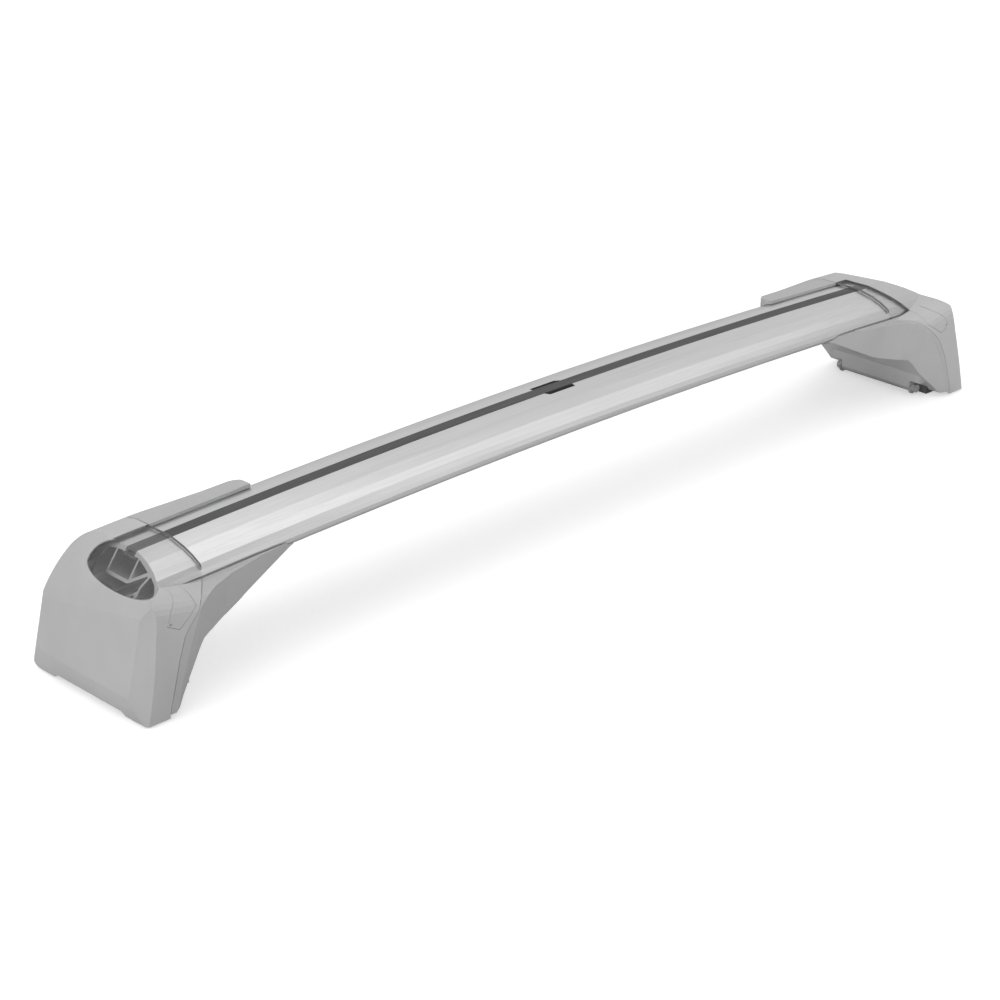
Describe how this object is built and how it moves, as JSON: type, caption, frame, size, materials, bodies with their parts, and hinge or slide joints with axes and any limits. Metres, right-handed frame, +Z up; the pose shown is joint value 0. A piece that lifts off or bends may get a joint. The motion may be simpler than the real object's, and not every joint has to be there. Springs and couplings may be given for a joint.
{
  "type": "roof rack crossbar",
  "caption": "Arched aluminium crossbar with a T-slot and rubber strip, carried by two low feet with pull-off end covers and rail clamps.",
  "frame": {"origin": "on the ground plane under the rubber pads, in the middle between the two feet and across them", "axes": "+X along the bar, +Y to the rear of the car, +Z up; the bar's rounded nose faces -Y"},
  "size_m": [0.946, 0.1325, 0.1071],
  "materials": {
    "anodised_aluminium": "satin anodised, fine lengthwise grain",
    "black_rubber": "matte, fine ribs",
    "grey_plastic": "satin moulded",
    "clear_plastic": "satin translucent moulding",
    "zinc_casting": "bright satin",
    "zinc_steel": "zinc plated",
    "cast_aluminium": "powder coated",
    "dark_steel": "dark coated",
    "pad_rubber": "matte"
  },
  "bodies": {
    "crossbar": {"bar": "anodised_aluminium", "top_strip": "black_rubber", "left_foot_body": "grey_plastic", "left_clamp_nut": "zinc_steel", "left_cross_rod": "dark_steel", "left_rod_clips": "dark_steel", "left_base_pad": "pad_rubber", "left_bar_gasket": "pad_rubber", "left_slot_bolts": "zinc_steel", "left_slot_nuts": "zinc_steel", "right_foot_body": "grey_plastic", "right_clamp_nut": "zinc_steel", "right_cross_rod": "dark_steel", "right_rod_clips": "dark_steel", "right_base_pad": "pad_rubber", "right_bar_gasket": "pad_rubber", "right_slot_bolts": "zinc_steel", "right_slot_nuts": "zinc_steel"},
    "left_cover": {"left_end_cover": "clear_plastic"},
    "left_door": {"left_lock_flap": "clear_plastic"},
    "left_lock": {"left_lock_barrel": "zinc_casting", "left_lock_cam": "zinc_steel"},
    "left_jaw": {"left_clamp_jaw": "cast_aluminium", "left_bolt_washer": "zinc_steel"},
    "left_bolt": {"left_tension_bolt": "zinc_steel"},
    "right_cover": {"right_end_cover": "clear_plastic"},
    "right_door": {"right_lock_flap": "clear_plastic"},
    "right_lock": {"right_lock_barrel": "zinc_casting", "right_lock_cam": "zinc_steel"},
    "right_jaw": {"right_clamp_jaw": "cast_aluminium", "right_bolt_washer": "zinc_steel"},
    "right_bolt": {"right_tension_bolt": "zinc_steel"}
  },
  "joints": [
    {"name": "left_cover_slide", "type": "slide", "parent": "crossbar", "child": "left_cover", "axis": [-1, 0, 0], "range_m": [0, 0.09]},
    {"name": "left_door_pull", "type": "slide", "parent": "left_cover", "child": "left_door", "axis": [0, -1, 0], "range_m": [0, 0.015]},
    {"name": "left_lock_turn", "type": "hinge", "parent": "left_cover", "child": "left_lock", "pos_m": [-0.43, -0.045, 0.07433], "axis": [0, 1, 0], "range_deg": [0, 90]},
    {"name": "left_jaw_slide", "type": "slide", "parent": "crossbar", "child": "left_jaw", "axis": [1, 0, 0], "range_m": [0, 0.006]},
    {"name": "left_bolt_turn", "type": "hinge", "parent": "left_jaw", "child": "left_bolt", "pos_m": [-0.455, 0, 0.03], "axis": [-1, 0, 0], "range_deg": [0, 1729]},
    {"name": "right_cover_slide", "type": "slide", "parent": "crossbar", "child": "right_cover", "axis": [1, 0, 0], "range_m": [0, 0.09]},
    {"name": "right_door_pull", "type": "slide", "parent": "right_cover", "child": "right_door", "axis": [0, -1, 0], "range_m": [0, 0.015]},
    {"name": "right_lock_turn", "type": "hinge", "parent": "right_cover", "child": "right_lock", "pos_m": [0.43, -0.045, 0.07433], "axis": [0, -1, 0], "range_deg": [0, 90]},
    {"name": "right_jaw_slide", "type": "slide", "parent": "crossbar", "child": "right_jaw", "axis": [-1, 0, 0], "range_m": [0, 0.006]},
    {"name": "right_bolt_turn", "type": "hinge", "parent": "right_jaw", "child": "right_bolt", "pos_m": [0.455, 0, 0.03], "axis": [1, 0, 0], "range_deg": [0, 1729]}
  ],
  "couplings": [
    {"joint": "left_bolt_turn", "follows": "left_jaw_slide", "rad_per_m": 5026.5},
    {"joint": "right_bolt_turn", "follows": "right_jaw_slide", "rad_per_m": 5026.5}
  ]
}
